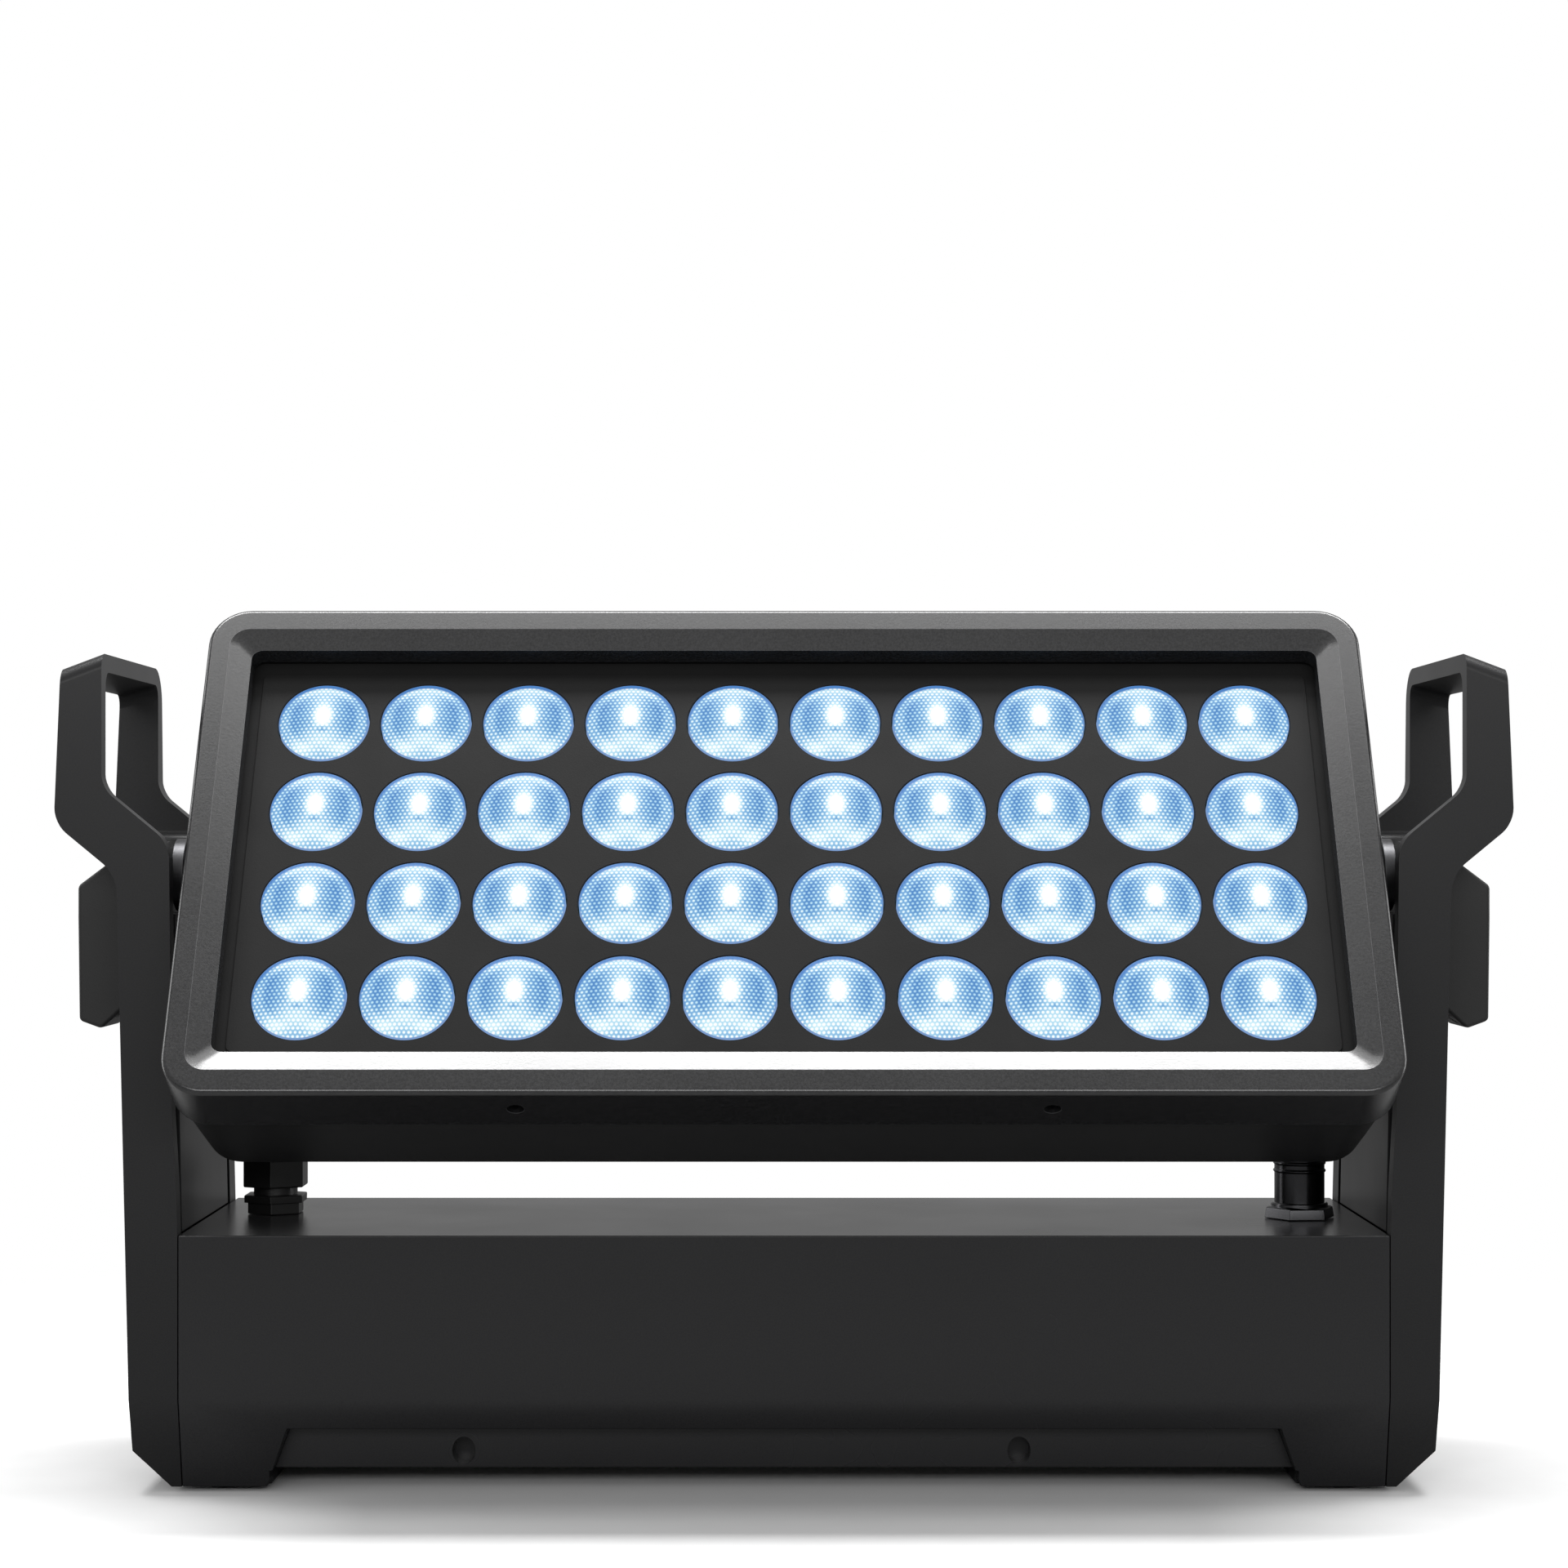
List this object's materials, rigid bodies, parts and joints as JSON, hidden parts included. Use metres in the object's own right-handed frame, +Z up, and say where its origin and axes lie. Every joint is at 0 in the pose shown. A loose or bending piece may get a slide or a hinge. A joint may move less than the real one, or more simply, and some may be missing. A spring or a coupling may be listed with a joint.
{
  "type": "led wash light",
  "caption": "Wide lit lens panel in a framed head that tilts between two arms with hand grips, on a long floor base with a rear connector and menu panel.",
  "frame": {"origin": "on the floor, below the middle of the whole light", "axes": "+X to the right as seen from the front, -Y towards the side that the light faces, +Z up"},
  "size_m": [0.5828, 0.2306, 0.3571],
  "materials": {
    "black_powder_coat": "cast aluminium, fine textured black powder coat",
    "bezel_powder_coat": "cast aluminium, coarse speckled grey powder coat",
    "mask_plastic": "matt moulded",
    "lens_acrylic": "clear moulded lens, lit",
    "black_rubber": "matt",
    "bare_aluminium": "as machined",
    "zinc_plated_steel": "zinc plated",
    "black_plastic": "glass-filled moulding",
    "board_laminate": "solder-resist green",
    "display_window": "smoked window"
  },
  "bodies": {
    "base": {"arm_cover_left": "black_powder_coat", "arm_cover_right": "black_powder_coat", "arm_left": "black_powder_coat", "arm_right": "black_powder_coat", "base_housing": "black_powder_coat", "bracket_pad_left": "zinc_plated_steel", "bracket_pad_right": "zinc_plated_steel", "cable_gland_left": "black_plastic", "cable_gland_right": "zinc_plated_steel", "control_board": "board_laminate", "control_plate": "black_plastic", "data_inlet": "black_plastic", "data_outlet": "black_plastic", "display_window": "display_window", "friction_washer_left": "black_rubber", "friction_washer_right": "black_rubber", "lever_pin_left": "zinc_plated_steel", "lever_pin_right": "zinc_plated_steel", "pivot_bolt_left": "zinc_plated_steel", "pivot_bolt_right": "zinc_plated_steel", "power_inlet": "black_plastic", "power_outlet": "black_plastic", "power_supply": "bare_aluminium", "rear_panel": "black_powder_coat", "rubber_foot_front_left": "black_rubber", "rubber_foot_front_right": "black_rubber", "rubber_foot_rear_left": "black_rubber", "rubber_foot_rear_right": "black_rubber"},
    "head": {"bezel_frame": "bezel_powder_coat", "front_gasket": "black_rubber", "lens_mask": "mask_plastic", "lens_strip_1": "lens_acrylic", "lens_strip_2": "lens_acrylic", "lens_strip_3": "lens_acrylic", "lens_strip_4": "lens_acrylic", "led_board": "board_laminate", "heatsink": "bare_aluminium", "rear_housing": "black_powder_coat", "rear_cover": "black_powder_coat", "fan_frame_1": "black_plastic", "fan_frame_2": "black_plastic", "fan_frame_3": "black_plastic", "hub_left": "bare_aluminium", "hub_right": "bare_aluminium", "vent_plug": "black_plastic"},
    "lever_left_body": {"lever_left": "black_plastic"},
    "lever_right_body": {"lever_right": "black_plastic"},
    "button_1": {"menu_button_1": "black_plastic"},
    "button_2": {"menu_button_2": "black_plastic"},
    "button_3": {"menu_button_3": "black_plastic"},
    "button_4": {"menu_button_4": "black_plastic"},
    "fan_1": {"fan_rotor_1": "black_plastic"},
    "fan_2": {"fan_rotor_2": "black_plastic"},
    "fan_3": {"fan_rotor_3": "black_plastic"}
  },
  "joints": [
    {"name": "head_tilt", "type": "hinge", "parent": "base", "child": "head", "pos_m": [0, 0, 0.2473], "axis": [-1, 0, 0], "range_deg": [-12, 78.25]},
    {"name": "lever_left_flip", "type": "hinge", "parent": "base", "child": "lever_left_body", "pos_m": [-0.27565, 0, 0.2473], "axis": [0, 1, 0], "range_deg": [0, 70]},
    {"name": "lever_right_flip", "type": "hinge", "parent": "base", "child": "lever_right_body", "pos_m": [0.27565, 0, 0.2473], "axis": [0, -1, 0], "range_deg": [0, 70]},
    {"name": "button_1_press", "type": "slide", "parent": "base", "child": "button_1", "axis": [0, -1, 0], "range_m": [0, 0.0012], "stiffness_N_per_m": 400, "springref_m": -0.001},
    {"name": "button_2_press", "type": "slide", "parent": "base", "child": "button_2", "axis": [0, -1, 0], "range_m": [0, 0.0012], "stiffness_N_per_m": 400, "springref_m": -0.001},
    {"name": "button_3_press", "type": "slide", "parent": "base", "child": "button_3", "axis": [0, -1, 0], "range_m": [0, 0.0012], "stiffness_N_per_m": 400, "springref_m": -0.001},
    {"name": "button_4_press", "type": "slide", "parent": "base", "child": "button_4", "axis": [0, -1, 0], "range_m": [0, 0.0012], "stiffness_N_per_m": 400, "springref_m": -0.001},
    {"name": "fan_1_spin", "type": "hinge", "parent": "head", "child": "fan_1", "pos_m": [-0.132, 0.01635, 0.21672], "axis": [0, 0.8504, -0.5262], "continuous": true},
    {"name": "fan_2_spin", "type": "hinge", "parent": "head", "child": "fan_2", "pos_m": [0, 0.01635, 0.21672], "axis": [0, 0.8504, -0.5262], "continuous": true},
    {"name": "fan_3_spin", "type": "hinge", "parent": "head", "child": "fan_3", "pos_m": [0.132, 0.01635, 0.21672], "axis": [0, 0.8504, -0.5262], "continuous": true}
  ]
}
